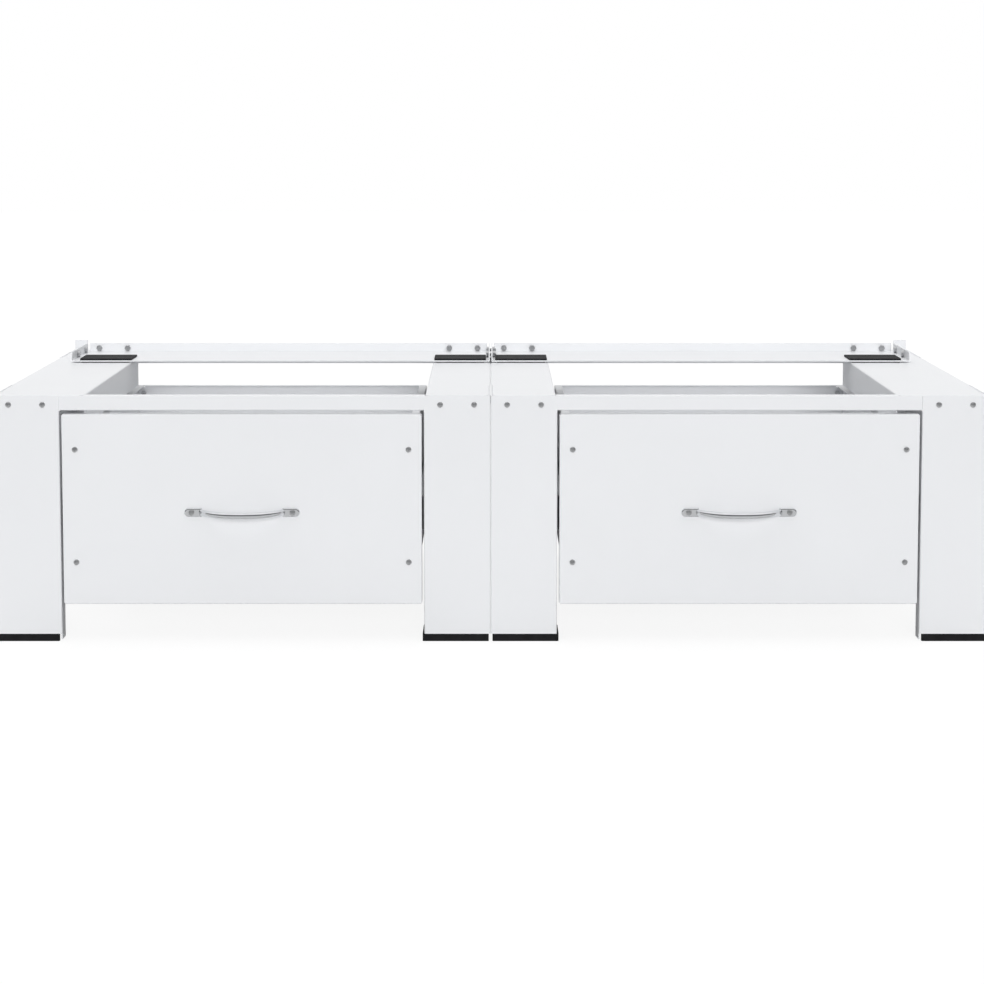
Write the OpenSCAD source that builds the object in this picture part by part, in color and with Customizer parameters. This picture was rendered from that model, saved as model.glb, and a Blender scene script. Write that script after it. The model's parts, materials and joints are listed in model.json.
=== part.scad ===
// Double laundry pedestal: two mirrored units of folded sheet steel side by side, each with a
// drawer on telescopic rails under an open deck that carries one machine.
// Every piece is modelled in the frame of the right unit: X runs outward from the seam between the
// units, Y runs back from the leg faces at the front, and Z runs up from the floor.

/* [Overall] */
// Width of one unit
unit_w = 630; // [615:5:680]
// Depth from the front leg faces to the rear leg faces
depth = 540; // [500:5:600]
// Height of the deck above the floor
deck_h = 315; // [280:1:360]
// Gap between the two units
seam_gap = 0.3; // [0.2:0.1:1.2]

/* [Sheet] */
// Thickness of the frame's sheet
sheet = 1.5; // [1:0.1:2]
// Thickness of the drawer's sheet
box_sheet = 1.2; // [0.8:0.1:1.5]
// Inside radius of the bends
bend_r = 0.5; // [0.4:0.1:1.6]
// Clearance between pieces that fit side by side
fit_gap = 0.3; // [0.2:0.1:0.6]

/* [Legs] */
// Width of a leg's face
leg_w = 84.3; // [76:0.1:95]
// Depth of a leg's side wall
leg_depth = 110; // [95:1:140]
// Depth of the flange folded back from a leg's face
leg_flange = 22; // [16:1:30]
// Depth of the lug on that flange that holds the rail
lug_depth = 62; // [50:1:75]
// Height of the lug
lug_h = 52; // [48:1:70]
// Width of the upright ear on each rear outer leg
ear_w = 21; // [10:1:40]
// Height of the ear above the deck
ear_h = 14.5; // [5:0.5:30]

/* [Feet] */
// Thickness of a rubber foot
foot_h = 9.5; // [6:0.5:20]
// Depth of a foot
foot_depth = 50; // [40:1:70]
// Depth of the bar along a foot's front
foot_bar = 6; // [5:0.5:12]
// How far a foot's block is set in from the bar's inner end
foot_step = 12; // [6:0.5:16]
// How far an inner foot is shifted outward under its leg
inner_foot_shift = 2.2; // [0:0.1:3]
// How far an outer foot is shifted outward under its leg
outer_foot_shift = 3.7; // [2.6:0.1:5]
// Depth of the tread grooves under a foot
tread_depth = 1.5; // [0.5:0.1:3]
// Radius of the plugs that hold a foot in the leg
plug_r = 4; // [3:0.1:6]

/* [Deck] */
// Width of the outer channel's cover
outer_channel_w = 115; // [100:1:130]
// Height of the channels' walls
wall_h = 40; // [25:1:50]
// Depth at which the channels' inner walls end
inner_wall_end = 428; // [330:1:470]
// Height of the front and rear beams
beam_h = 19; // [17:0.5:24]
// Depth of the beams' flanges
beam_flange = 12; // [8:0.5:12.5]

/* [Machine tray] */
// Width of the tray over its side upstands
tray_w = 600; // [580:1:606]
// Depth of the tray
tray_depth = 127; // [110:1:130]
// Distance from the tray's upstand to the rear leg faces
tray_back = 47.5; // [40:0.5:60]
// Height of the upstands above the deck
upstand_h = 15; // [13:0.5:25]
// Radius of the upstands' free corners
upstand_corner = 6; // [2:0.5:9]
// Distance from the tray's ends to the nearest rear bolts
rear_bolt_edge = 18.5; // [14:0.5:24]
// Spacing of the two rear bolts at each end of the tray
rear_bolt_pitch = 42; // [30:0.5:60]
// Distance from the tray's rear upstand to the nearest side bolts
side_bolt_edge = 27; // [20:0.5:36]
// Spacing of the two bolts in each side upstand
side_bolt_pitch = 57; // [40:0.5:66]
// Width of an anti-slip pad
pad_w = 74; // [60:1:76]
// Depth of an anti-slip pad
pad_depth = 52; // [40:1:80]
// Thickness of an anti-slip pad
pad_t = 2.5; // [1.5:0.1:4]
// Thickness of the cushion that a pad forms under the tray
cushion_t = 1.5; // [0.5:0.1:3]

/* [Drawer] */
// Gap between the drawer front and the legs
front_gap = 2.8; // [2:0.1:5]
// Gap between the drawer front and the beam above it
top_gap = 4.5; // [2:0.1:6]
// Height of the drawer front's lower edge above the floor
front_bottom = 48; // [30:1:80]
// Depth of the lips folded back from the drawer front
front_lip = 14; // [8:0.5:17]
// How far the box's top edge lies under the deck
box_drop = 53; // [45:1:70]
// How far the box's floor lies above the front's lower edge
box_rise = 14; // [4:1:25]
// Width of the flanges along the top of the box sides
box_flange = 11; // [8:0.5:14]
// Width of the flanges at the ends of the box sides
end_flange = 17; // [14:0.5:22]
// Gap between the box and the rear leg faces
box_back = 5; // [4:0.5:12]
// Height of the front's lower screws above its lower edge
low_screw_rise = 54; // [44:1:70]
// Distance of the front's upper screws below its upper edge
high_screw_drop = 45; // [42:1:60]

/* [Rails] */
// Thickness of a rail set, from leg to box
rail_t = 12; // [11.9:0.1:13]
// Height of a rail set
rail_h = 45; // [42:0.5:48]
// Thickness of the rails' sheet
rail_sheet = 1.2; // [1:0.1:1.3]
// Running gap between rails that slide in each other
rail_gap = 0.3; // [0.2:0.05:0.4]
// Distance from the leg faces to the rails' ends
rail_inset = 20; // [18:0.5:24]

/* [Handle] */
// Distance between the handle's screw holes
handle_pitch = 128; // [96:1:160]
// How far the handle's bar stands out from the drawer front
handle_reach = 30; // [22:0.5:40]
// Height of the handle's flat feet
handle_foot_h = 11.5; // [10:0.5:16]
// Height of the bar at its middle
bar_h = 8; // [6:0.1:9]
// Thickness of the bar at its middle
bar_t = 7; // [5:0.1:9]
// How far the handle sits below the middle of the drawer front
handle_drop = 3.5; // [0:0.5:20]

/* [Fasteners] */
// Radius of the pan-head screws
screw_r = 1.95; // [1.5:0.05:2.5]
// Radius of the pan heads
head_r = 3.6; // [3:0.1:4.5]
// Height of the pan heads
head_h = 2; // [1.2:0.1:2]
// Radius of the hex bolts
bolt_r = 2.4; // [2:0.1:3]
// Distance across the flats of the bolts' heads and nuts
hex_flats = 8; // [7:0.1:9]
// Clearance round a screw or a bolt in its hole
hole_gap = 0.2; // [0.1:0.05:0.4]
// Spacing of the screws in a leg's face and side
screw_pitch = 43; // [36:0.5:46]
// How far those screws lie under the deck
screw_drop = 11.4; // [10.5:0.1:11.6]

/* [Hidden] */
$fn = 48;

PAINT = [0.94, 0.945, 0.95];
STEEL = [0.72, 0.73, 0.75];
CHROME = [0.82, 0.83, 0.85];
RUBBER = [0.08, 0.08, 0.085];

// Overlap that keeps a cut clear of the face it starts from
eps = 1;

// Bends
bend_out = bend_r + sheet;
box_bend_r = bend_r / 2;
box_bend_out = box_bend_r + box_sheet;
relief = 2;
notch = 0.7;

// Legs
flange_top = deck_h - beam_h - relief;
screw_z = deck_h - screw_drop;
screw_edge = 29.5;
face_screws = [(leg_w - screw_pitch) / 2, (leg_w + screw_pitch) / 2];
side_screws = [screw_edge, screw_edge + screw_pitch];
face_screw_xs = [each face_screws, each [for (x = face_screws) unit_w - x]];
side_screw_ys = [each side_screws, each [for (y = side_screws) depth - y]];
plug_xs = [leg_w / 3, leg_w * 2 / 3];
plug_y = foot_depth / 2;
lug_screw = (rail_inset + lug_depth) / 2;
rail_screws = [lug_screw, depth - lug_screw];
lug_corner = 6;
foot_corner = 1.5;
skirt_z = 2;

// Deck
inner_channel_w = leg_w - sheet - fit_gap;
beam_y = sheet;
tab_y = beam_y + sheet;
tab_bottom = deck_h - beam_h + sheet + relief;
cover_start = tab_y + bend_out + relief;
wall_start = beam_y + beam_flange + fit_gap + 0.2;
lug_top_gap = 0.5;

// Bolts
bolt_head_h = 3.5;
nut_h = 3.8;
bolt_end = 1.5;

// Machine tray
tray_z = deck_h + cushion_t;
tray_top = tray_z + sheet;
tray_y1 = depth - tray_back;
tray_y0 = tray_y1 - tray_depth;
tray_x0 = 1;
tray_x1 = tray_x0 + tray_w;
upstand_z = deck_h + upstand_h;
bolt_z = tray_top + bend_r + fit_gap + hex_flats / 2;
bolt_places = [rear_bolt_edge, rear_bolt_edge + rear_bolt_pitch];
rear_bolt_xs = [each [for (x = bolt_places) tray_x0 + x], each [for (x = bolt_places) tray_x1 - x]];
side_bolt_ys = [tray_y1 - side_bolt_edge - side_bolt_pitch, tray_y1 - side_bolt_edge];
pad_y0 = tray_y0 + 4;
outer_pad_x = tray_x1 - 12 - pad_w;
inner_pad_x = tray_x0 + sheet + nut_h + fit_gap;
pad_groove_w = 2;
pad_groove_t = 0.6;
stem_r = 4;
stem_y = pad_y0 + pad_depth / 2;
cushion_inset = 3;

// Drawer
front_x0 = leg_w + front_gap;
front_w = unit_w - 2 * front_x0;
front_top = deck_h - beam_h - top_gap;
front_h = front_top - front_bottom;
box_x0 = leg_w + rail_t;
box_w = unit_w - 2 * box_x0;
box_y0 = box_sheet;
box_y1 = depth - box_back;
box_z0 = front_bottom + box_rise;
box_z1 = deck_h - box_drop;
rail_z = (box_z0 + box_z1) / 2;
end_lift = box_bend_out + relief;
flange_screw = end_flange / 2 - 1;
back_flange_screw = end_flange / 2 + 1;
front_screw_zs = [front_bottom + low_screw_rise, front_top - high_screw_drop];
back_screw_zs = [box_z0 + 24, box_z1 - 12];
back_lip = 9;
bottom_lip = 12;
bottom_z = box_z0 + box_sheet;
inside_x = box_x0 + box_sheet + box_bend_r + fit_gap;
front_screws = [
    for (x = [box_x0 + flange_screw, unit_w - box_x0 - flange_screw])
        for (z = front_screw_zs)
            [x, z]
];
back_screws = [
    for (x = [box_x0 + back_flange_screw, unit_w - box_x0 - back_flange_screw])
        for (z = back_screw_zs)
            [x, z]
];
bead_w = 14;
bead_h = 1.5;
bead_end = 48;
bead_xs = [for (share = [-0.26, 0, 0.26]) unit_w / 2 + share * box_w];

// Rails
rail_bend = 0.5;
rail_end = depth - rail_inset;
box_screw_ys = [rail_inset + 36, depth / 2, rail_end - 36];
outer_depth = rail_t * 0.74;
outer_lip = 4;
middle_half = rail_h / 2 - outer_lip - rail_gap;
middle_w0 = 3.4;
middle_w1 = rail_t - 1.6;
middle_lip = 3.4;
inner_half = middle_half - middle_lip - rail_gap;
inner_w0 = rail_t - 5.8;
inner_lip_z = middle_half - rail_sheet - rail_gap;
rail_head_h = 1.4;

// Handle
handle_x = unit_w / 2;
handle_z = front_bottom + front_h / 2 - handle_drop;
foot_t = 3;
foot_r = handle_foot_h / 2;
foot_end = 3.5;
foot_x = handle_pitch / 2 - 13;
bar_half = foot_x + 2;
bar_rings = 32;
bar_sides = 20;
bar_end_h = handle_foot_h - 3;
bar_end_t = 4.5;

// Fasteners
hole_r = screw_r + hole_gap;
bolt_hole_r = bolt_r + hole_gap;
hex_r = hex_flats / 2 / cos(30);
small_nut_h = 3;
small_nut_r = 3.5 / cos(30);
cross_w = 0.8;
cross_depth = 0.9;

// The whole is centred over the floor: the handles are foremost and the rear screw heads hindmost
front_y = -(depth + head_h - handle_reach) / 2;

function direction(a, b) = (b - a) / norm(b - a);
function left_of(v) = [-v[1], v[0]];
function turn(a, b, c) =
    let (u = direction(a, b), v = direction(b, c))
    atan2(u[0] * v[1] - u[1] * v[0], u * v);
function bend_take(angle, t, r) = (angle > 0 ? r + t : r) * tan(abs(angle) / 2);

// Ring sector of a bend, from the X axis through the angle
module sector(r, t, angle) {
    reach = 2 * (r + t);
    half = angle / 2;
    intersection() {
        difference() {
            circle(r + t);
            circle(r);
        }
        polygon([
            [0, 0], [reach, 0],
            1.4 * reach * [cos(half), sin(half)],
            reach * [cos(angle), sin(angle)]
        ]);
    }
}

// Section of a folded sheet: the sheet lies on the left of the path, with a round bend at each corner
module folded(path, t = sheet, r = bend_r) {
    last = len(path) - 1;
    turns = [for (i = [0 : last]) i == 0 || i == last ? 0 : turn(path[i - 1], path[i], path[i + 1])];
    takes = [for (angle = turns) bend_take(angle, t, r)];
    for (i = [0 : last - 1]) {
        along = direction(path[i], path[i + 1]);
        run = norm(path[i + 1] - path[i]) - takes[i] - takes[i + 1];
        translate(path[i] + along * takes[i])
            rotate(atan2(along[1], along[0]))
                square([run, t]);
    }
    for (i = [1 : last - 1]) {
        along = direction(path[i - 1], path[i]);
        side = left_of(along);
        outward = turns[i] > 0 ? -side : side;
        centre = path[i] - along * takes[i] - outward * (turns[i] > 0 ? r + t : r);
        translate(centre)
            rotate(atan2(outward[1], outward[0]))
                sector(r, t, turns[i]);
    }
}

// Extrudes a section drawn in X and Z along Y
module along_y(y0, y1) {
    translate([0, y1, 0])
        rotate([90, 0, 0])
            linear_extrude(y1 - y0)
                children();
}

// Extrudes a section drawn in Y and Z along X
module along_x(x0, x1) {
    translate([x0, 0, 0])
        rotate([90, 0, 90])
            linear_extrude(x1 - x0)
                children();
}

// Extrudes a section drawn in X and Y along Z
module along_z(z0, z1) {
    translate([0, 0, z0])
        linear_extrude(z1 - z0)
            children();
}

module rounded_rect(size, r) {
    translate([r, 0])
        square([size[0] - 2 * r, size[1]]);
    translate([0, r])
        square([size[0], size[1] - 2 * r]);
    for (x = [r, size[0] - r])
        for (y = [r, size[1] - r])
            translate([x, y])
                circle(r);
}

// What a corner of the given radius takes off, for a corner at the origin that opens to -X and -Y
module corner_waste(r) {
    difference() {
        translate([-r, -r])
            square(r + eps);
        translate([-r, -r])
            circle(r);
    }
}

module hole_x(at, r, length) {
    translate(at)
        rotate([0, 90, 0])
            cylinder(h = length, r = r, center = true);
}

module hole_y(at, r, length) {
    translate(at)
        rotate([90, 0, 0])
            cylinder(h = length, r = r, center = true);
}

module hole_z(at, r, length) {
    translate(at)
        cylinder(h = length, r = r, center = true);
}

// Pan-head screw with a cross recess: the head stands on Z = 0 and the shank runs down
module pan_screw(length, height = head_h) {
    dome = head_r * 1.9;
    difference() {
        union() {
            rotate_extrude()
                intersection() {
                    square([head_r, height]);
                    translate([0, height - dome])
                        circle(dome);
                }
            translate([0, 0, -length])
                cylinder(h = length, r = screw_r);
        }
        for (turned = [0, 90])
            rotate(turned)
                translate([-head_r * 0.55, -cross_w / 2, height - cross_depth])
                    cube([head_r * 1.1, cross_w, height]);
    }
}

// Hexagonal nut under a grip of the given length, on a shank of the given radius
module hex_nut(grip, shank_r, nut_r, height) {
    translate([0, 0, -grip - height])
        difference() {
            cylinder(h = height, r = nut_r, $fn = 6);
            translate([0, 0, -eps])
                cylinder(h = height + 2 * eps, r = shank_r + hole_gap / 2);
        }
}

// Pan-head screw held by a small nut
module nutted_screw(grip) {
    pan_screw(grip + small_nut_h + 2);
    hex_nut(grip, screw_r, small_nut_r, small_nut_h);
}

// Hex bolt held by a nut: the head stands on Z = 0
module hex_bolt(grip) {
    shank = grip + nut_h + bolt_end;
    cylinder(h = bolt_head_h, r = hex_r, $fn = 6);
    translate([0, 0, -shank])
        cylinder(h = shank, r = bolt_r);
    hex_nut(grip, bolt_r, hex_r, nut_h);
}

module pointing_front(at) {
    translate(at)
        rotate([90, 0, 0])
            children();
}

module pointing_back(at) {
    translate(at)
        rotate([-90, 0, 0])
            children();
}

module pointing_out(at) {
    translate(at)
        rotate([0, 90, 0])
            children();
}

module pointing_in(at) {
    translate(at)
        rotate([0, -90, 0])
            children();
}

// Folded leg with its corner at the origin: the face runs along X and the side wall along Y. A
// skirted leg's flange reaches down beside the foot
module leg(side_hole_r, ear = false, skirted = false) {
    lug_z0 = rail_z - lug_h / 2;
    color(PAINT)
        difference() {
            union() {
                along_z(foot_h, flange_top)
                    folded([[0, leg_depth], [0, 0], [leg_w, 0], [leg_w, leg_flange]]);
                along_z(flange_top, deck_h)
                    folded([[0, leg_depth], [0, 0], [leg_w, 0]]);
                along_x(leg_w - sheet, leg_w)
                    translate([leg_flange - 2 * lug_corner, lug_z0])
                        rounded_rect([lug_depth - leg_flange + 2 * lug_corner, lug_h], lug_corner);
                along_z(foot_h, foot_h + sheet)
                    translate([sheet, sheet])
                        square([leg_w - foot_step - 2 * sheet, foot_depth - sheet]);
                if (skirted)
                    along_x(leg_w - sheet, leg_w)
                        translate([bend_out, skirt_z])
                            square([leg_flange - bend_out, foot_h - skirt_z + eps]);
                if (ear)
                    along_y(0, sheet)
                        translate([bend_out, deck_h - eps])
                            square([ear_w - bend_out, ear_h + eps]);
            }
            for (x = face_screws)
                hole_y([x, 0, screw_z], hole_r, 4 * sheet);
            for (y = side_screws)
                hole_x([0, y, screw_z], side_hole_r, 4 * sheet);
            hole_x([leg_w, lug_screw, rail_z], hole_r, 4 * sheet);
            for (x = plug_xs)
                hole_z([x, plug_y, foot_h], plug_r + fit_gap, 4 * sheet);
        }
}

// Rubber foot that starts at the given X: a bar under the leg's face and a block behind it
module foot(x, plugs) {
    plug_h = sheet + fit_gap;
    grooves = 3;
    pitch = foot_depth / (grooves + 1);
    groove_w = pitch / 3;
    color(RUBBER)
        difference() {
            union() {
                along_z(0, foot_h) {
                    translate([x, 0])
                        rounded_rect([leg_w, foot_bar], foot_corner);
                    translate([x + foot_step, 0])
                        rounded_rect([leg_w - foot_step, foot_depth], foot_corner);
                }
                for (plug_x = plugs)
                    translate([plug_x, plug_y, 0]) {
                        cylinder(h = foot_h + plug_h + eps, r = plug_r);
                        translate([0, 0, foot_h + plug_h])
                            cylinder(h = 3, r1 = plug_r + 1.5, r2 = plug_r - 1);
                    }
            }
            for (i = [1 : grooves])
                translate([x - eps, i * pitch - groove_w / 2, -eps])
                    cube([leg_w + 2 * eps, groove_w, tread_depth + eps]);
        }
}

// One end of a channel: the cover with its tab folded down behind the beam
module channel_end(width) {
    along_x(sheet + bend_out + relief, width - bend_out - relief)
        folded([[cover_start + relief, deck_h], [tab_y, deck_h], [tab_y, tab_bottom]]);
}

// Stretch of a channel's outer wall at the given X, folded down from the cover
module channel_wall(x, y0, y1) {
    along_y(y0, y1)
        folded([[sheet + bend_out + notch, deck_h], [x, deck_h], [x, deck_h - wall_h]]);
}

// Folded channel along one side of the deck. Its outer wall is flush with the legs at X = 0 and
// steps in behind their side walls
module channel(width, side_hole_r) {
    color(PAINT)
        difference() {
            union() {
                along_y(cover_start, depth - cover_start)
                    folded([[width, deck_h - wall_h], [width, deck_h], [sheet + bend_out, deck_h]]);
                channel_wall(0, leg_depth + fit_gap, depth - leg_depth - fit_gap);
                channel_wall(sheet, cover_start, leg_depth - notch);
                channel_wall(sheet, depth - leg_depth + notch, depth - cover_start);
                channel_end(width);
                translate([0, depth, 0])
                    mirror([0, 1, 0])
                        channel_end(width);
            }
            translate([width - bend_out, -eps, deck_h - wall_h - eps])
                cube([bend_out + eps, wall_start + eps, wall_h - bend_out + eps]);
            translate([width - bend_out, inner_wall_end, deck_h - wall_h - eps])
                cube([bend_out + eps, depth, wall_h - bend_out + eps]);
            for (y = [0, depth])
                for (x = face_screws)
                    hole_y([x, y, screw_z], hole_r, 4 * tab_y);
            for (y = side_screw_ys)
                hole_x([sheet, y, screw_z], side_hole_r, 4 * sheet);
        }
}

// Folded beam across the front: flanges between the legs, plain ends behind their faces
module beam() {
    end_x = sheet + bend_r + fit_gap;
    low = deck_h - beam_h;
    color(PAINT)
        difference() {
            union() {
                along_x(inner_channel_w + fit_gap, unit_w - outer_channel_w - fit_gap)
                    folded([
                        [beam_y + beam_flange, deck_h], [beam_y, deck_h],
                        [beam_y, low], [beam_y + beam_flange, low]
                    ]);
                along_x(leg_w + fit_gap, unit_w - leg_w - fit_gap)
                    folded([
                        [beam_y, deck_h - lug_top_gap], [beam_y, low], [beam_y + beam_flange, low]
                    ]);
                translate([end_x, beam_y, low + bend_out])
                    cube([unit_w - 2 * end_x, sheet, beam_h - bend_out - lug_top_gap]);
            }
            for (x = face_screw_xs)
                hole_y([x, beam_y, screw_z], hole_r, 4 * sheet);
        }
}

// Tray across the rear of the deck: a plate with upstands along its back and both ends
module machine_tray() {
    end_relief = bend_out + relief;
    side_end = tray_y1 - end_relief;
    color(PAINT)
        difference() {
            union() {
                along_x(tray_x0 + end_relief, tray_x1 - end_relief)
                    folded([[tray_y0, tray_z], [tray_y1, tray_z], [tray_y1, upstand_z]]);
                along_y(tray_y0, side_end)
                    folded([
                        [tray_x0, upstand_z], [tray_x0, tray_z],
                        [tray_x1, tray_z], [tray_x1, upstand_z]
                    ]);
            }
            translate([0, tray_y0, upstand_z])
                along_x(tray_x0 - eps, tray_x1 + eps)
                    mirror([1, 0])
                        corner_waste(upstand_corner);
            for (x = rear_bolt_xs)
                hole_y([x, tray_y1, bolt_z], bolt_hole_r, 4 * sheet);
            for (x = [tray_x0, tray_x1])
                for (y = side_bolt_ys)
                    hole_x([x, y, bolt_z], bolt_hole_r, 4 * sheet);
            for (x = [each stem_xs(inner_pad_x), each stem_xs(outer_pad_x)])
                hole_z([x, stem_y, tray_z], stem_r + fit_gap, 4 * sheet);
        }
}

function stem_xs(x) = [x + pad_w * 0.25, x + pad_w * 0.75];

// Ribbed rubber pad on the tray with its front corner at the given X. Two stems through the tray
// join it to the cushion between the tray and the channel
module pad(x) {
    grooves = 3;
    pitch = pad_depth / (grooves + 1);
    color(RUBBER)
        difference() {
            union() {
                along_z(tray_top, tray_top + pad_t)
                    translate([x, pad_y0])
                        rounded_rect([pad_w, pad_depth], 2);
                for (stem_x = stem_xs(x))
                    translate([stem_x, stem_y, deck_h])
                        cylinder(h = tray_top - deck_h + eps, r = stem_r);
                along_z(deck_h, tray_z)
                    translate([x + cushion_inset, tray_y0])
                        square([pad_w - 2 * cushion_inset, pad_y0 + pad_depth - tray_y0]);
            }
            for (i = [1 : grooves])
                translate([x - eps, pad_y0 + i * pitch - pad_groove_w / 2, tray_top + pad_t - pad_groove_t])
                    cube([pad_w + 2 * eps, pad_groove_w, pad_t]);
        }
}

// Screws that hold the legs to the beams and channels, and the rails to the legs
module frame_screws() {
    length = 3 * sheet + 3;
    color(STEEL) {
        for (x = face_screw_xs) {
            pointing_front([x, 0, screw_z])
                pan_screw(length);
            pointing_back([x, depth, screw_z])
                pan_screw(length);
        }
        for (y = side_screw_ys)
            pointing_out([unit_w, y, screw_z])
                pan_screw(length);
        for (y = rail_screws) {
            pointing_out([leg_w + rail_sheet, y, rail_z])
                pan_screw(rail_sheet + sheet + 3, rail_head_h);
            pointing_in([unit_w - leg_w - rail_sheet, y, rail_z])
                pan_screw(rail_sheet + sheet + 3, rail_head_h);
        }
    }
}

// Clamping bolts through the tray's rear upstand and its outer upstand
module tray_bolts() {
    color(STEEL) {
        for (x = rear_bolt_xs)
            pointing_front([x, tray_y1 - sheet, bolt_z])
                hex_bolt(sheet);
        for (y = side_bolt_ys)
            pointing_in([tray_x1 - sheet, y, bolt_z])
                hex_bolt(sheet);
    }
}

// Bolts across the seam: through both trays' upstands, and through the inner legs and channels
module joining_bolts() {
    leg_grip = 4 * sheet + seam_gap;
    tray_grip = 2 * (tray_x0 + sheet) + seam_gap;
    color(STEEL)
        translate([0, front_y, 0]) {
            for (y = side_bolt_ys)
                pointing_in([-tray_grip / 2, y, bolt_z])
                    hex_bolt(tray_grip);
            for (y = side_screw_ys)
                pointing_in([-leg_grip / 2, y, screw_z])
                    hex_bolt(leg_grip);
        }
}

// Rail sections: across the thickness from the leg, and up and down from the middle line
module cabinet_section() {
    half = rail_h / 2;
    folded([
        [outer_depth, half - outer_lip], [outer_depth, half], [0, half],
        [0, -half], [outer_depth, -half], [outer_depth, outer_lip - half]
    ], rail_sheet, rail_bend);
}

module middle_section() {
    half = middle_half;
    folded([
        [middle_w1, half - middle_lip], [middle_w1, half], [middle_w0, half],
        [middle_w0, -half], [middle_w1, -half], [middle_w1, middle_lip - half]
    ], rail_sheet, rail_bend);
}

module drawer_section() {
    half = inner_half - rail_sheet;
    web = rail_t - rail_sheet;
    folded([
        [inner_w0, inner_lip_z], [inner_w0, half], [web, half],
        [web, -half], [inner_w0, -half], [inner_w0, -inner_lip_z]
    ], rail_sheet, rail_bend);
}

// Extrudes a rail section along Y beside the outer legs or the inner legs
module rail_place(outer) {
    if (outer)
        translate([unit_w - leg_w, 0, rail_z])
            mirror([1, 0, 0])
                children();
    else
        translate([leg_w, 0, rail_z])
            children();
}

module cabinet_rail(outer) {
    color(STEEL)
        rail_place(outer)
            difference() {
                along_y(rail_inset, rail_end)
                    cabinet_section();
                for (y = rail_screws)
                    hole_x([0, y, 0], hole_r, 4 * rail_sheet);
            }
}

module middle_rail(outer) {
    color(STEEL)
        rail_place(outer)
            difference() {
                along_y(rail_inset, rail_end)
                    middle_section();
                for (y = rail_screws)
                    hole_x([middle_w0, y, 0], head_r + 2 * fit_gap, 4 * rail_sheet);
            }
}

module drawer_rail(outer) {
    color(STEEL)
        rail_place(outer)
            difference() {
                along_y(rail_inset, rail_end)
                    drawer_section();
                for (y = box_screw_ys)
                    hole_x([rail_t, y, 0], hole_r, 4 * rail_sheet);
            }
}

// Drawer front: a shallow pan with its face flush with the legs
module drawer_front() {
    color(PAINT)
        translate([front_x0, 0, front_bottom])
            difference() {
                union() {
                    along_z(box_bend_out, front_h - box_bend_out)
                        folded([[0, front_lip], [0, 0], [front_w, 0], [front_w, front_lip]],
                            box_sheet, box_bend_r);
                    along_x(box_bend_out, front_w - box_bend_out)
                        folded([[front_lip, front_h], [0, front_h], [0, 0], [front_lip, 0]],
                            box_sheet, box_bend_r);
                }
                for (p = front_screws)
                    hole_y([p[0] - front_x0, 0, p[1] - front_bottom], hole_r, 4 * box_sheet);
                for (x = [-handle_pitch / 2, handle_pitch / 2])
                    hole_y([handle_x + x - front_x0, 0, handle_z - front_bottom], hole_r, 4 * box_sheet);
            }
}

// Side of the drawer box with its outer face at X = 0, folded inward all round
module drawer_side() {
    color(PAINT)
        difference() {
            union() {
                along_y(box_y0 + end_lift, box_y1 - end_lift)
                    folded([
                        [box_flange, box_z1], [0, box_z1], [0, box_z0], [box_flange, box_z0]
                    ], box_sheet, box_bend_r);
                along_z(box_z0 + end_lift, box_z1 - end_lift)
                    folded([
                        [end_flange, box_y1], [0, box_y1], [0, box_y0], [end_flange, box_y0]
                    ], box_sheet, box_bend_r);
            }
            for (z = front_screw_zs)
                hole_y([flange_screw, box_y0, z], hole_r, 4 * box_sheet);
            for (z = back_screw_zs)
                hole_y([back_flange_screw, box_y1, z], hole_r, 4 * box_sheet);
            for (y = box_screw_ys)
                hole_x([0, y, rail_z], hole_r, 4 * box_sheet);
        }
}

module drawer_outer_side() {
    translate([unit_w - box_x0, 0, 0])
        mirror([1, 0, 0])
            drawer_side();
}

module drawer_inner_side() {
    translate([box_x0, 0, 0])
        drawer_side();
}

// Back of the drawer box, inside the sides' rear flanges, with a lip folded forward along its top
module drawer_back() {
    back_y = box_y1 - box_sheet;
    lip_x = box_x0 + box_flange + fit_gap;
    color(PAINT)
        difference() {
            union() {
                along_x(lip_x, unit_w - lip_x)
                    folded([[back_y, bottom_z], [back_y, box_z1], [back_y - back_lip, box_z1]],
                        box_sheet, box_bend_r);
                along_x(inside_x, unit_w - inside_x)
                    translate([back_y - box_sheet, bottom_z])
                        square([box_sheet, box_z1 - end_lift - bottom_z]);
            }
            for (p = back_screws)
                hole_y([p[0], back_y, p[1]], hole_r, 4 * box_sheet);
        }
}

// Floor of the drawer box, on the sides' lower flanges, with a lip at each end and pressed beads
module drawer_bottom() {
    y0 = box_y0 + box_sheet + fit_gap;
    y1 = box_y1 - 2 * box_sheet - fit_gap;
    color(PAINT)
        difference() {
            union() {
                along_x(inside_x, unit_w - inside_x)
                    folded([
                        [y0, bottom_z + bottom_lip], [y0, bottom_z],
                        [y1, bottom_z], [y1, bottom_z + bottom_lip]
                    ], box_sheet, box_bend_r);
                for (x = bead_xs)
                    along_z(bottom_z, bottom_z + bead_h + box_sheet)
                        bead(x, bead_w);
            }
            for (x = bead_xs)
                along_z(bottom_z - eps, bottom_z + bead_h)
                    bead(x, bead_w - 2 * box_sheet);
        }
}

// Outline of a bead of the given width along the floor, round at both ends
module bead(x, width) {
    translate([x, bead_end])
        circle(width / 2);
    translate([x - width / 2, bead_end])
        square([width, depth - 2 * bead_end]);
    translate([x, depth - bead_end])
        circle(width / 2);
}

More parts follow.
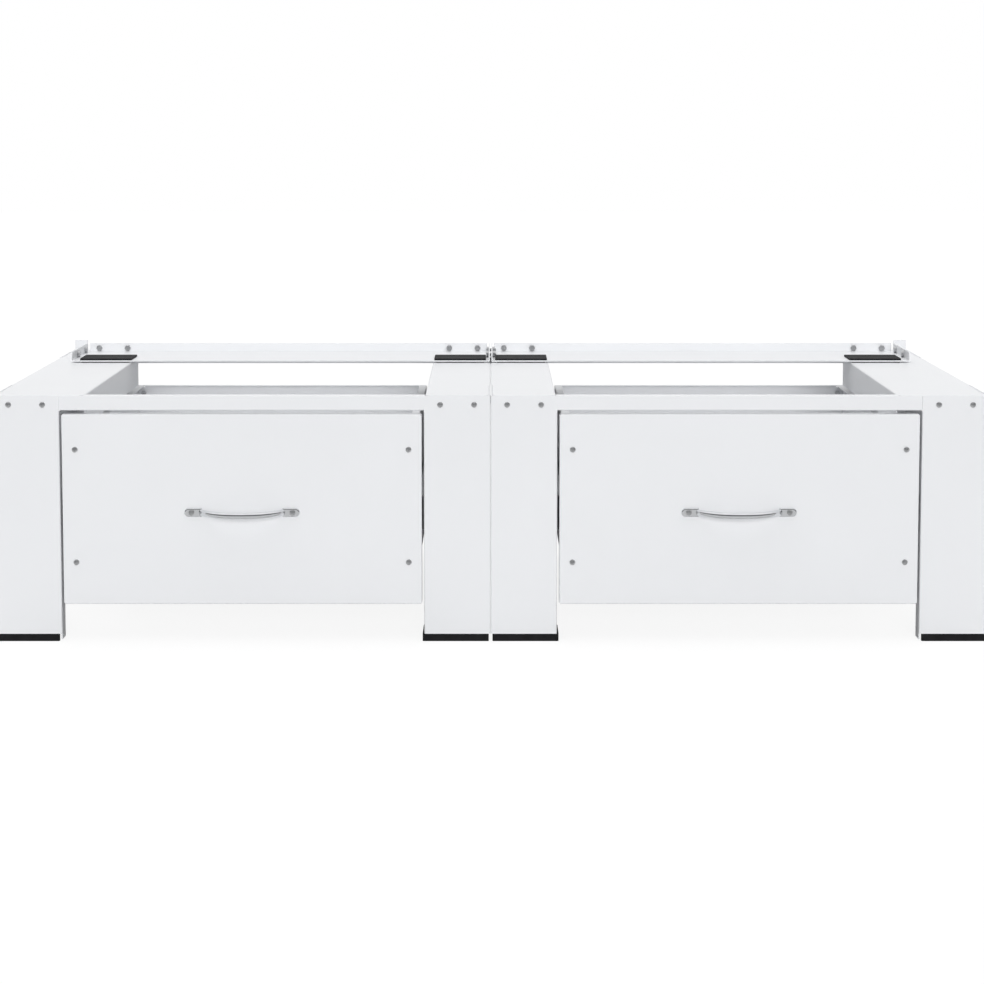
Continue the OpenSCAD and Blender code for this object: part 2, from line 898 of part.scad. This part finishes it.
module drawer_screws() {
    color(STEEL) {
        for (p = front_screws)
            pointing_front([p[0], 0, p[1]])
                nutted_screw(2 * box_sheet);
        for (p = back_screws)
            pointing_back([p[0], box_y1, p[1]])
                nutted_screw(2 * box_sheet);
        for (y = box_screw_ys) {
            pointing_in([leg_w + rail_t - rail_sheet, y, rail_z])
                pan_screw(rail_sheet + box_sheet + 3, rail_head_h);
            pointing_out([unit_w - leg_w - rail_t + rail_sheet, y, rail_z])
                pan_screw(rail_sheet + box_sheet + 3, rail_head_h);
        }
    }
}

// Bow handle: how far the bar stands out, and its half height and half thickness, along -1 to 1
function bow_out(t) = -(foot_t / 2 + (handle_reach - foot_t / 2 - bar_t / 2) * (1 - pow(abs(t), 4)));
function bow_point(t) = [t * bar_half, bow_out(t)];
function bow_along(t) = direction(bow_point(max(-1, t - 0.01)), bow_point(min(1, t + 0.01)));
function bow_blend(t) = pow(abs(t), 3);
function bow_ring(t) = let (
        p = bow_point(t),
        across = left_of(bow_along(t)),
        half_h = (bar_h + (bar_end_h - bar_h) * bow_blend(t)) / 2,
        half_t = (bar_t + (bar_end_t - bar_t) * bow_blend(t)) / 2
    ) [
        for (i = [0 : bar_sides - 1])
            let (angle = 360 * i / bar_sides, q = p + across * half_t * cos(angle))
            [q[0], q[1], half_h * sin(angle)]
    ];

module bow_bar() {
    rings = [for (i = [0 : bar_rings]) bow_ring(2 * i / bar_rings - 1)];
    points = [for (ring = rings) each ring];
    n = bar_sides;
    walls = [
        for (i = [0 : bar_rings - 1])
            for (j = [0 : n - 1])
                each [
                    [i * n + j, (i + 1) * n + j, i * n + (j + 1) % n],
                    [i * n + (j + 1) % n, (i + 1) * n + j, (i + 1) * n + (j + 1) % n]
                ]
    ];
    first = [for (j = [0 : n - 1]) j];
    last = [for (j = [n - 1 : -1 : 0]) bar_rings * n + j];
    polyhedron(points, [first, each walls, last]);
}

// Flat foot of the handle round its right screw hole, reaching in under the bar
module handle_foot() {
    rotate([90, 0, 0])
        linear_extrude(foot_t) {
            translate([handle_pitch / 2 + foot_end, 0])
                circle(foot_r);
            translate([foot_x, -foot_r])
                square([handle_pitch / 2 + foot_end - foot_x, 2 * foot_r]);
        }
}

module handle() {
    color(CHROME)
        translate([handle_x, 0, handle_z])
            difference() {
                union() {
                    bow_bar();
                    handle_foot();
                    mirror([1, 0, 0])
                        handle_foot();
                }
                for (x = [-handle_pitch / 2, handle_pitch / 2])
                    hole_y([x, 0, 0], hole_r, 4 * foot_t);
            }
}

module handle_screws() {
    color(STEEL)
        for (x = [-handle_pitch / 2, handle_pitch / 2])
            pointing_front([handle_x + x, -foot_t, handle_z])
                nutted_screw(foot_t + box_sheet);
}

// Turns a piece at the front inner corner of a unit to one of its other corners
module at_outer() {
    translate([unit_w, 0, 0])
        mirror([1, 0, 0])
            children();
}

module at_rear() {
    translate([0, depth, 0])
        mirror([0, 1, 0])
            children();
}

module front_outer_leg() {
    at_outer()
        leg(hole_r, skirted = true);
}

module front_inner_leg() {
    leg(bolt_hole_r);
}

module rear_outer_leg() {
    at_rear()
        at_outer()
            leg(hole_r, ear = true, skirted = true);
}

module rear_inner_leg() {
    at_rear()
        leg(bolt_hole_r);
}

module front_feet() {
    foot(inner_foot_shift, plug_xs);
    foot(unit_w - leg_w + outer_foot_shift, [for (x = plug_xs) unit_w - x]);
}

module rear_feet() {
    at_rear()
        front_feet();
}

module outer_channel() {
    at_outer()
        channel(outer_channel_w, hole_r);
}

module inner_channel() {
    channel(inner_channel_w, bolt_hole_r);
}

module rear_beam() {
    at_rear()
        beam();
}

// The right unit stands beyond the seam, and the left unit mirrors it
module on_right() {
    translate([seam_gap / 2, front_y, 0])
        children();
}

module on_left() {
    mirror([1, 0, 0])
        on_right()
            children();
}

on_left() front_outer_leg();  // left_front_outer_leg
on_left() front_inner_leg();  // left_front_inner_leg
on_left() rear_outer_leg();  // left_rear_outer_leg
on_left() rear_inner_leg();  // left_rear_inner_leg
on_left() front_feet();  // left_front_feet
on_left() rear_feet();  // left_rear_feet
on_left() outer_channel();  // left_outer_channel
on_left() inner_channel();  // left_inner_channel
on_left() beam();  // left_front_beam
on_left() rear_beam();  // left_rear_beam
on_left() machine_tray();  // left_machine_tray
on_left() pad(outer_pad_x);  // left_outer_pad
on_left() pad(inner_pad_x);  // left_inner_pad
on_left() frame_screws();  // left_frame_screws
on_left() tray_bolts();  // left_tray_bolts
on_left() cabinet_rail(true);  // left_outer_cabinet_rail
on_left() cabinet_rail(false);  // left_inner_cabinet_rail
on_left() middle_rail(true);  // left_outer_middle_rail
on_left() middle_rail(false);  // left_inner_middle_rail
on_left() drawer_rail(true);  // left_outer_drawer_rail
on_left() drawer_rail(false);  // left_inner_drawer_rail
on_left() drawer_front();  // left_drawer_front
on_left() drawer_outer_side();  // left_drawer_outer_side
on_left() drawer_inner_side();  // left_drawer_inner_side
on_left() drawer_back();  // left_drawer_back
on_left() drawer_bottom();  // left_drawer_bottom
on_left() drawer_screws();  // left_drawer_screws
on_left() handle();  // left_handle
on_left() handle_screws();  // left_handle_screws
on_right() front_outer_leg();  // right_front_outer_leg
on_right() front_inner_leg();  // right_front_inner_leg
on_right() rear_outer_leg();  // right_rear_outer_leg
on_right() rear_inner_leg();  // right_rear_inner_leg
on_right() front_feet();  // right_front_feet
on_right() rear_feet();  // right_rear_feet
on_right() outer_channel();  // right_outer_channel
on_right() inner_channel();  // right_inner_channel
on_right() beam();  // right_front_beam
on_right() rear_beam();  // right_rear_beam
on_right() machine_tray();  // right_machine_tray
on_right() pad(outer_pad_x);  // right_outer_pad
on_right() pad(inner_pad_x);  // right_inner_pad
on_right() frame_screws();  // right_frame_screws
on_right() tray_bolts();  // right_tray_bolts
on_right() cabinet_rail(true);  // right_outer_cabinet_rail
on_right() cabinet_rail(false);  // right_inner_cabinet_rail
on_right() middle_rail(true);  // right_outer_middle_rail
on_right() middle_rail(false);  // right_inner_middle_rail
on_right() drawer_rail(true);  // right_outer_drawer_rail
on_right() drawer_rail(false);  // right_inner_drawer_rail
on_right() drawer_front();  // right_drawer_front
on_right() drawer_outer_side();  // right_drawer_outer_side
on_right() drawer_inner_side();  // right_drawer_inner_side
on_right() drawer_back();  // right_drawer_back
on_right() drawer_bottom();  // right_drawer_bottom
on_right() drawer_screws();  // right_drawer_screws
on_right() handle();  // right_handle
on_right() handle_screws();  // right_handle_screws
joining_bolts();
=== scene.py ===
"""Looks of the laundry pedestal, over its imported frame.

Each CAD node gets its finish, the two bow handles are drawn again as smooth bars, and the floor,
the light and the camera are added. Everything is in metres, in the row frame: X to the right,
Y to the back and Z up, with the floor at Z = 0.
"""

import json
import math

import bmesh
import bpy
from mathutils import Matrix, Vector


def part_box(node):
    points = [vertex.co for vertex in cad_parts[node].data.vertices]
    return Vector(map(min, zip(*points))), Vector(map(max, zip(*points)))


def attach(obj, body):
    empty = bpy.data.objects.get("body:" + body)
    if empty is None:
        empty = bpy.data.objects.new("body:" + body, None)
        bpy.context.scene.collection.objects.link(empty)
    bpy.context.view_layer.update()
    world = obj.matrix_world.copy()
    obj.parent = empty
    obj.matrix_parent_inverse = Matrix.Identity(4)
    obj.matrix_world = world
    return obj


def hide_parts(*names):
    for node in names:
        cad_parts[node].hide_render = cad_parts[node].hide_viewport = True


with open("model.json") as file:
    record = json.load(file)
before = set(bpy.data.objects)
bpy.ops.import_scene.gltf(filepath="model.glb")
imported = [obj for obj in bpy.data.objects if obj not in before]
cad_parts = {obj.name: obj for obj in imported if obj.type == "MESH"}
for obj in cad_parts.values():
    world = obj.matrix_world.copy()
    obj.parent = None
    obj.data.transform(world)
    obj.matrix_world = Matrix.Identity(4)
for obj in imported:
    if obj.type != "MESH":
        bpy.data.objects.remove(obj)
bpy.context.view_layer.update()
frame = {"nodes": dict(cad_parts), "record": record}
nodes = frame["nodes"]
handle_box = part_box("right_handle")
handle_reach = handle_box[1].y - handle_box[0].y

# Camera, fitted to the photograph in its 984 x 984 frame
FRAME_PX = 984
SENSOR_MM = 36
FOCAL_PX = 2144.7
EYE_TO_FRONT = 2.6885  # from the faces of the front legs
EYE_HEIGHT = 0.6666
PITCH = 0.08314  # radians below the horizon
SHIFT_X = 0.00142
SHIFT_Y = -0.2

# Base colours of the finishes
PAINT = (0.86, 0.868, 0.885)
RAIL_STEEL = (0.6, 0.62, 0.64)
ZINC = (0.68, 0.685, 0.695)
CHROME = (0.8, 0.81, 0.825)
RUBBER = (0.009, 0.009, 0.01)
WHITE = (1, 1, 1)

NOISE_SPAN = (0.3, 0.7)  # the part of a noise value's range that a finish uses
ALONG_RAIL = (1, 0.02, 1)  # stretches noise into lines along Y

# Screws of the bow handle
HOLE_PITCH = 0.128
HOLE_RADIUS = 0.00215

# Feet of the bow handle
FOOT_END = 0.0035  # from the hole to the middle of the round end
FOOT_THICK = 0.003
FOOT_SQUARE = 0.013  # from the hole to the square end at the bar
FOOT_SOFT = 0.0018  # radius of the rounded edge
FOOT_ROUNDS = 5  # steps in that edge
FOOT_TURNS = 72  # points around a foot
TINY = 1e-6  # keeps a divisor off zero

# Bar of the bow handle
BAR_HALF = 0.053
BAR_MIDDLE = (0.008, 0.007)  # height and thickness at the middle
BAR_ENDS = (0.0085, 0.0045)  # the same at the feet
BAR_RINGS = 140  # steps along the bar
BAR_SIDES = 48  # points around it
BOW_POWER = 2.5  # more of it makes the bow squarer
FLARE_POWER = 3  # more of it keeps the change of section nearer to the feet
TANGENT_STEP = 0.01  # for the bar's direction, where its half length counts 1
CREASE_DEGREES = 40  # sharper edges stay creased

# Floor
FLOOR_REACH = 12
FLOOR_GREY = 0.65  # as the light meets it
FLOOR_SHADOW = 0.14  # share that shows shadows to the camera
FLOOR_LIFT = 0.89  # share that shows white to the camera

# Light
AMBIENT = (0.97, 0.985, 1)
AMBIENT_STRENGTH = 0.28
MIRROR_DARK = (0.13, 0.135, 0.14)
MIRROR_SLOPE = (0, 0.5, 1)  # direction in which the mirrored surround grows lighter
MIRROR_SPAN = (0.08, 0.45)
SUNS = (  # name, place, spread in degrees, strength
    ("front", (0.2, -3, 0.72), 22, 1.54),
    ("top", (-0.2, 0.1, 3), 80, 1.45),
    ("back", (0, 3, 0.9), 120, 0.75),
)


def new_material(name):
    """A new material with its nodes and its Principled shader."""
    material = bpy.data.materials.new(name)
    material.use_nodes = True
    tree = material.node_tree
    return material, tree, tree.nodes["Principled BSDF"]


def set_inputs(made, **inputs):
    """Sets inputs of a shader node by name, with _ for a space."""
    for key, value in inputs.items():
        made.inputs[key.replace("_", " ")].default_value = value


def add(tree, kind, **inputs):
    """A new shader node with its inputs set by name."""
    made = tree.nodes.new(kind)
    set_inputs(made, **inputs)
    return made


def noise(tree, where, scale, detail, roughness=0.5):
    """Noise over the object's own space, in cells per metre."""
    made = add(tree, "ShaderNodeTexNoise", Scale=scale, Detail=detail, Roughness=roughness)
    tree.links.new(where, made.inputs["Vector"])
    return made.outputs["Fac"]


def spread(tree, value, low, high):
    """Stretches a noise value to the range from low to high."""
    made = add(tree, "ShaderNodeMapRange", From_Min=NOISE_SPAN[0], From_Max=NOISE_SPAN[1])
    set_inputs(made, To_Min=low, To_Max=high)
    tree.links.new(value, made.inputs["Value"])
    return made.outputs["Result"]


def tinted(tree, value, dark, light, span=NOISE_SPAN):
    """Colour between two tones, by a value that grows over the span."""
    ramp = tree.nodes.new("ShaderNodeValToRGB")
    for stop, position, colour in zip(ramp.color_ramp.elements, span, (dark, light)):
        stop.position = position
        stop.color = (*colour, 1)
    tree.links.new(value, ramp.inputs["Fac"])
    return ramp.outputs["Color"]


def bumps(tree, heights):
    """Stacks bumps of (height value, distance in metres, strength), and returns the normal."""
    normal = None
    for height, distance, strength in heights:
        bump = add(tree, "ShaderNodeBump", Distance=distance, Strength=strength)
        tree.links.new(height, bump.inputs["Height"])
        if normal is not None:
            tree.links.new(normal, bump.inputs["Normal"])
        normal = bump.outputs["Normal"]
    return normal


def shade(colour, factor):
    """The colour, darker or lighter by a factor."""
    return tuple(channel * factor for channel in colour)


def dress(tree, shader, colour, roughness, heights):
    """Gives the shader its colour, its roughness and its bumps."""
    tree.links.new(colour, shader.inputs["Base Color"])
    tree.links.new(roughness, shader.inputs["Roughness"])
    tree.links.new(bumps(tree, heights), shader.inputs["Normal"])


def powder_coat():
    """Satin white powder coat: faint orange peel, and a slightly uneven sheen."""
    material, tree, shader = new_material("white_powder_coat")
    where = tree.nodes.new("ShaderNodeTexCoord").outputs["Object"]
    clouds = noise(tree, where, scale=9, detail=3)
    peel = noise(tree, where, scale=620, detail=2, roughness=0.55)
    grain = noise(tree, where, scale=1900, detail=1)
    set_inputs(shader, IOR=1.5, Coat_Weight=0.12, Coat_Roughness=0.25)
    colour = tinted(tree, clouds, shade(PAINT, 0.985), PAINT)
    roughness = spread(tree, peel, low=0.36, high=0.48)
    dress(tree, shader, colour, roughness, [(peel, 0.00006, 0.5), (grain, 0.00002, 0.4)])
    return material


def rolled_steel():
    """Bright zinc on rolled rails: fine lines along the rail, and cloudy spangle."""
    material, tree, shader = new_material("rolled_rail_steel")
    where = tree.nodes.new("ShaderNodeTexCoord").outputs["Object"]
    along = add(tree, "ShaderNodeMapping", Scale=ALONG_RAIL)
    tree.links.new(where, along.inputs["Vector"])
    lines = noise(tree, along.outputs["Vector"], scale=2400, detail=3, roughness=0.6)
    clouds = noise(tree, where, scale=70, detail=4)
    set_inputs(shader, Metallic=1)
    colour = tinted(tree, clouds, shade(RAIL_STEEL, 0.88), RAIL_STEEL)
    dress(tree, shader, colour, spread(tree, lines, low=0.26, high=0.42), [(lines, 0.00003, 0.5)])
    return material


def zinc_plate():
    """Bright zinc on screws, bolts and nuts."""
    material, tree, shader = new_material("zinc_plate")
    where = tree.nodes.new("ShaderNodeTexCoord").outputs["Object"]
    clouds = noise(tree, where, scale=260, detail=3)
    fine = noise(tree, where, scale=3200, detail=2)
    set_inputs(shader, Metallic=1)
    colour = tinted(tree, clouds, shade(ZINC, 0.82), ZINC)
    dress(tree, shader, colour, spread(tree, fine, low=0.34, high=0.5), [(fine, 0.00002, 0.5)])
    return material


def polished_chrome():
    """Chrome with a faint haze and hairlines."""
    material, tree, shader = new_material("polished_chrome")
    where = tree.nodes.new("ShaderNodeTexCoord").outputs["Object"]
    haze = noise(tree, where, scale=120, detail=3)
    hair = noise(tree, where, scale=2600, detail=1)
    set_inputs(shader, Metallic=1)
    colour = tinted(tree, haze, shade(CHROME, 0.94), CHROME)
    dress(tree, shader, colour, spread(tree, haze, low=0.07, high=0.16), [(hair, 0.00001, 0.25)])
    return material


def black_rubber():
    """Matt black rubber with a fine moulded grain and a little dust."""
    material, tree, shader = new_material("black_rubber")
    where = tree.nodes.new("ShaderNodeTexCoord").outputs["Object"]
    dust = noise(tree, where, scale=55, detail=5, roughness=0.6)
    grain = noise(tree, where, scale=1300, detail=2)
    set_inputs(shader, Specular_IOR_Level=0.22)
    colour = tinted(tree, dust, RUBBER, shade(RUBBER, 1.7))
    dress(tree, shader, colour, spread(tree, grain, low=0.62, high=0.82), [(grain, 0.00012, 0.6)])
    return material


finish = {
    "white_paint": powder_coat(),
    "rail_steel": rolled_steel(),
    "zinc_steel": zinc_plate(),
    "chrome": polished_chrome(),
    "black_rubber": black_rubber(),
}
for part in frame["record"]["subparts"]:
    surface = nodes[part["node"]].data
    surface.materials.clear()
    surface.materials.append(finish[part["material_slot"]])


def place(name, data, location=(0, 0, 0)):
    """A new object in the scene, from its mesh, lamp or camera."""
    made = bpy.data.objects.new(name, data)
    made.location = location
    bpy.context.scene.collection.objects.link(made)
    return made


def new_mesh(name, bm):
    """A new mesh from finished bmesh geometry, which is freed."""
    mesh = bpy.data.meshes.new(name)
    bm.to_mesh(mesh)
    bm.free()
    return mesh


def bow(t):
    """Middle line of the bar, from one foot at -1 to the other at 1."""
    rise = handle_reach - (FOOT_THICK + BAR_MIDDLE[1]) / 2
    return Vector((t * BAR_HALF, -FOOT_THICK / 2 - rise * (1 - abs(t) ** BOW_POWER), 0))


def ring(bm, points):
    """New vertices at the points."""
    return [bm.verts.new(point) for point in points]


def join_rings(bm, first, second):
    """Closed band of quads between two rings of as many vertices."""
    count = len(first)
    for i in range(count):
        j = (i + 1) % count
        bm.faces.new((first[i], first[j], second[j], second[i]))


def bow_bar(bm):
    """Oval bar of the handle, which grows thinner and higher towards its feet."""
    previous = None
    for i in range(BAR_RINGS + 1):
        t = 2 * i / BAR_RINGS - 1
        along = (bow(min(1, t + TANGENT_STEP)) - bow(max(-1, t - TANGENT_STEP))).normalized()
        across = Vector((-along.y, along.x, 0))
        share = abs(t) ** FLARE_POWER
        half_height, half_thickness = (
            (middle + (end - middle) * share) / 2 for middle, end in zip(BAR_MIDDLE, BAR_ENDS)
        )
        oval = []
        for k in range(BAR_SIDES):
            angle = math.tau * k / BAR_SIDES
            outwards = across * half_thickness * math.cos(angle)
            upwards = Vector((0, 0, half_height * math.sin(angle)))
            oval.append(bow(t) + outwards + upwards)
        made = ring(bm, oval)
        if previous:
            join_rings(bm, previous, made)
        else:
            bm.faces.new(reversed(made))
        previous = made
    bm.faces.new(previous)


def foot_rim(turns, inset, y, radius, side):
    """Rim of a foot at the angles about its hole: square towards the bar, round at its end."""
    square = FOOT_SQUARE - inset
    rim = []
    for angle in turns:
        c, s = math.cos(angle), math.sin(angle)
        reach = (radius - inset) / max(abs(s), TINY)
        if c < 0:
            reach = min(reach, square / -c)
        elif reach * c > FOOT_END:
            reach = FOOT_END * c + math.sqrt((radius - inset) ** 2 - (FOOT_END * s) ** 2)
        rim.append(Vector((side * (HOLE_PITCH / 2 + reach * c), y, reach * s)))
    return rim


def handle_foot(bm, radius, side):
    """Flat foot with a rounded edge and its screw hole."""
    corner = math.atan2(radius, FOOT_SQUARE)
    even = [math.tau * k / FOOT_TURNS for k in range(FOOT_TURNS)]
    turns = sorted(even + [math.pi - corner, math.pi + corner])
    centre = HOLE_PITCH / 2
    hole = [(centre + HOLE_RADIUS * math.cos(a), HOLE_RADIUS * math.sin(a)) for a in turns]
    loops = [[Vector((side * x, y, z)) for x, z in hole] for y in (0, -FOOT_THICK)]
    for k in range(FOOT_ROUNDS + 1):
        angle = math.pi / 2 * k / FOOT_ROUNDS
        inset = FOOT_SOFT * (1 - math.sin(angle))
        depth = FOOT_SOFT * (1 - math.cos(angle)) - FOOT_THICK
        loops.append(foot_rim(turns, inset, depth, radius, side))
    loops.append(foot_rim(turns, 0, 0, radius, side))
    rings = [ring(bm, loop) for loop in loops]
    for first, second in zip(rings, rings[1:] + rings[:1]):
        join_rings(bm, first, second)


def handle(side):
    """Bow handle with a smooth bar, in the place of the CAD node's faceted one."""
    low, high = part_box(f"{side}_handle")
    middle = (low + high) / 2
    radius = (high.z - low.z) / 2
    bm = bmesh.new()
    bow_bar(bm)
    for end in (-1, 1):
        handle_foot(bm, radius, end)
    bmesh.ops.recalc_face_normals(bm, faces=bm.faces)
    mesh = new_mesh(f"{side}_bow_handle", bm)
    mesh.shade_smooth()
    mesh.materials.append(finish["chrome"])
    made = place(f"{side}_bow_handle", mesh, (middle.x, high.y, middle.z))
    creases = made.modifiers.new("creases", "EDGE_SPLIT")
    creases.split_angle = math.radians(CREASE_DEGREES)
    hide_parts(f"{side}_handle")
    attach(made, f"{side}_drawer")


handle("left")
handle("right")


def by_ray(tree, ray, others, seen):
    """Shader that rays of the named kind see in one way, and all others in another."""
    path = tree.nodes.new("ShaderNodeLightPath")
    mix = tree.nodes.new("ShaderNodeMixShader")
    tree.links.new(path.outputs[ray], mix.inputs["Fac"])
    tree.links.new(others, mix.inputs[1])
    tree.links.new(seen, mix.inputs[2])
    return mix.outputs["Shader"]


def floor():
    """Pale floor, which shows white to the camera but for a light shadow of the object."""
    bm = bmesh.new()
    corners = ((-1, -1), (1, -1), (1, 1), (-1, 1))
    bm.faces.new(ring(bm, [(x * FLOOR_REACH, y * FLOOR_REACH, 0) for x, y in corners]))
    mesh = new_mesh("floor", bm)
    made = place("floor", mesh)
    material, tree, shader = new_material("floor_white")
    grey = (FLOOR_GREY, FLOOR_GREY, FLOOR_GREY, 1)
    set_inputs(shader, Base_Color=grey, Roughness=0.9, Specular_IOR_Level=0)
    shadow_tone = (FLOOR_SHADOW, FLOOR_SHADOW, FLOOR_SHADOW, 1)
    shadow = add(tree, "ShaderNodeBsdfDiffuse", Color=shadow_tone)
    lift = add(tree, "ShaderNodeEmission", Color=(*WHITE, 1), Strength=FLOOR_LIFT)
    seen = tree.nodes.new("ShaderNodeAddShader")
    tree.links.new(shadow.outputs["BSDF"], seen.inputs[0])
    tree.links.new(lift.outputs["Emission"], seen.inputs[1])
    mixed = by_ray(tree, "Is Camera Ray", shader.outputs["BSDF"], seen.outputs["Shader"])
    tree.links.new(mixed, tree.nodes["Material Output"].inputs["Surface"])
    mesh.materials.append(material)


def sun(name, location, spread_degrees, strength):
    """Broad sun that shines from the given place towards the object, unseen in mirrors."""
    lamp = bpy.data.lights.new(name, "SUN")
    lamp.angle = math.radians(spread_degrees)
    lamp.energy = strength
    made = place(name, lamp, location)
    made.rotation_euler = (-Vector(location)).to_track_quat("-Z", "Y").to_euler()
    made.visible_glossy = False


def surround():
    """Pale surround, white to the camera, and in mirrors dark low in front and white above."""
    world = bpy.data.worlds.new("studio")
    bpy.context.scene.world = world
    world.use_nodes = True
    tree = world.node_tree
    ambient = tree.nodes["Background"]
    set_inputs(ambient, Color=(*AMBIENT, 1), Strength=AMBIENT_STRENGTH)
    where = tree.nodes.new("ShaderNodeTexCoord")
    rise = tree.nodes.new("ShaderNodeVectorMath")
    rise.operation = "DOT_PRODUCT"
    rise.inputs[1].default_value = MIRROR_SLOPE
    tree.links.new(where.outputs["Generated"], rise.inputs[0])
    mirrored = tree.nodes.new("ShaderNodeBackground")
    tone = tinted(tree, rise.outputs["Value"], MIRROR_DARK, WHITE, MIRROR_SPAN)
    tree.links.new(tone, mirrored.inputs["Color"])
    white = add(tree, "ShaderNodeBackground", Color=(*WHITE, 1), Strength=1)
    plain, glossy = ambient.outputs["Background"], mirrored.outputs["Background"]
    lit = by_ray(tree, "Is Glossy Ray", plain, glossy)
    mixed = by_ray(tree, "Is Camera Ray", lit, white.outputs["Background"])
    tree.links.new(mixed, tree.nodes["World Output"].inputs["Surface"])


def camera():
    """The photograph's view, with part of its fall taken by the shift."""
    data = bpy.data.cameras.new("camera")
    data.sensor_width = SENSOR_MM
    data.lens = FOCAL_PX / FRAME_PX * SENSOR_MM
    data.shift_x = SHIFT_X
    data.shift_y = SHIFT_Y
    leg_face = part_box("right_front_inner_leg")[0].y
    made = place("camera", data, (0, leg_face - EYE_TO_FRONT, EYE_HEIGHT))
    made.rotation_euler = (math.pi / 2 - PITCH, 0, 0)
    bpy.context.scene.camera = made


floor()
surround()
for row in SUNS:
    sun(*row)
camera()
bpy.context.scene.view_settings.view_transform = "Standard"
